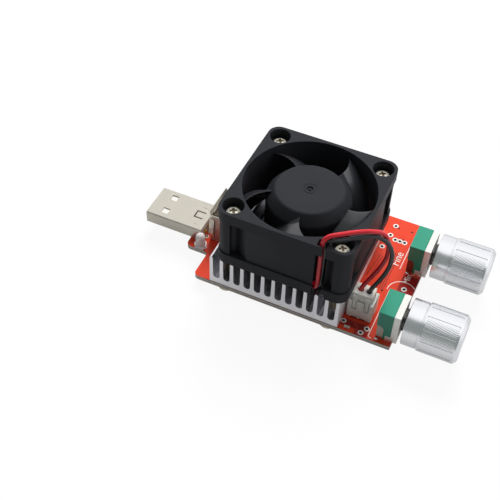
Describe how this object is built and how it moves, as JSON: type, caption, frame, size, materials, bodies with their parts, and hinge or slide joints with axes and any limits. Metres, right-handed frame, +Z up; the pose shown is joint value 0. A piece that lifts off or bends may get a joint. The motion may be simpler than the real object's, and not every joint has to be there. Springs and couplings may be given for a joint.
{
  "type": "dc electronic load",
  "caption": "Small bench load on a bare red board: a fan-cooled finned heatsink, a supply plug, an upright meter socket, and coarse and fine current knobs on a shared edge.",
  "frame": {"origin": "under the middle of the whole part, on the plane that the feet stand on, leads left out", "axes": "X from the plug to the knobs, Y from the front control to the back one, Z up"},
  "size_m": [0.1028, 0.0496, 0.0381],
  "materials": {
    "board_red": "glossy red solder mask on glass laminate",
    "pad_white": "soft white thermal pad",
    "sink_aluminium": "extruded and sawn aluminium",
    "screw_steel": "plated steel",
    "fan_plastic": "fine-grained black moulding",
    "bearing_bronze": "sintered bronze",
    "circuit_green": "green laminate",
    "core_steel": "stamped steel",
    "coil_copper": "enamelled copper wire",
    "shaft_steel": "ground steel",
    "magnet_black": "rubber-bonded magnet",
    "lead_red": "red insulation",
    "lead_black": "black insulation",
    "connector_ivory": "off-white moulding",
    "tinned_metal": "tin plating",
    "nickel_shell": "nickel-plated sheet steel",
    "tongue_white": "white moulding",
    "contact_gold": "gold flash",
    "control_green": "green moulding",
    "cover_metal": "bright sheet metal",
    "terminal_ivory": "ivory moulding",
    "terminal_brown": "brown moulding",
    "bushing_dark": "dark die-cast metal",
    "insert_black": "black moulding",
    "knob_aluminium": "bright turned and knurled aluminium",
    "lamp_clear": "clear cast resin",
    "chip_black": "black moulding compound",
    "resistor_black": "black coated ceramic",
    "capacitor_tan": "tan ceramic",
    "solder": "smooth solder"
  },
  "bodies": {
    "load": {"circuit_board": "board_red", "thermal_pad": "pad_white", "heatsink": "sink_aluminium", "heatsink_screws": "screw_steel", "fan_frame": "fan_plastic", "fan_bearing": "bearing_bronze", "fan_circuit": "circuit_green", "fan_stator": "core_steel", "fan_coils": "coil_copper", "fan_screws": "screw_steel", "fan_lead_red": "lead_red", "fan_lead_black": "lead_black", "lead_plug": "connector_ivory", "lead_contacts": "tinned_metal", "header": "connector_ivory", "header_pins": "tinned_metal", "usb_plug_shell": "nickel_shell", "usb_plug_tongue": "tongue_white", "usb_plug_contacts": "contact_gold", "usb_socket_shell": "nickel_shell", "usb_socket_tongue": "tongue_white", "usb_socket_contacts": "contact_gold", "coarse_body": "control_green", "coarse_cover": "cover_metal", "coarse_terminals": "terminal_ivory", "coarse_pins": "tinned_metal", "coarse_bushing": "bushing_dark", "fine_body": "control_green", "fine_cover": "cover_metal", "fine_terminals": "terminal_brown", "fine_pins": "tinned_metal", "fine_bushing": "bushing_dark", "status_lamp": "lamp_clear", "lamp_leads": "tinned_metal", "mosfet_body": "chip_black", "mosfet_leads": "tinned_metal", "opamp_body": "chip_black", "opamp_leads": "tinned_metal", "sense_resistor": "resistor_black", "chip_resistors": "resistor_black", "chip_capacitors": "capacitor_tan", "solder_joints": "solder"},
    "fan_rotor": {"fan_shaft": "shaft_steel", "fan_cup": "core_steel", "fan_magnet": "magnet_black", "fan_impeller": "fan_plastic"},
    "coarse_control": {"coarse_shaft": "shaft_steel", "coarse_insert": "insert_black", "coarse_knob": "knob_aluminium"},
    "fine_control": {"fine_shaft": "shaft_steel", "fine_insert": "insert_black", "fine_knob": "knob_aluminium"}
  },
  "joints": [
    {"name": "fan_spin", "type": "hinge", "parent": "load", "child": "fan_rotor", "pos_m": [-0.00137, -0.0046, 0.025], "axis": [0, 0, 1], "continuous": true},
    {"name": "coarse_turn", "type": "hinge", "parent": "load", "child": "coarse_control", "pos_m": [0.04, -0.0177, 0.01], "axis": [1, 0, 0], "range_deg": [-150, 150]},
    {"name": "fine_turn", "type": "hinge", "parent": "load", "child": "fine_control", "pos_m": [0.04, 0.0094, 0.01], "axis": [1, 0, 0], "range_deg": [-150, 150]}
  ]
}
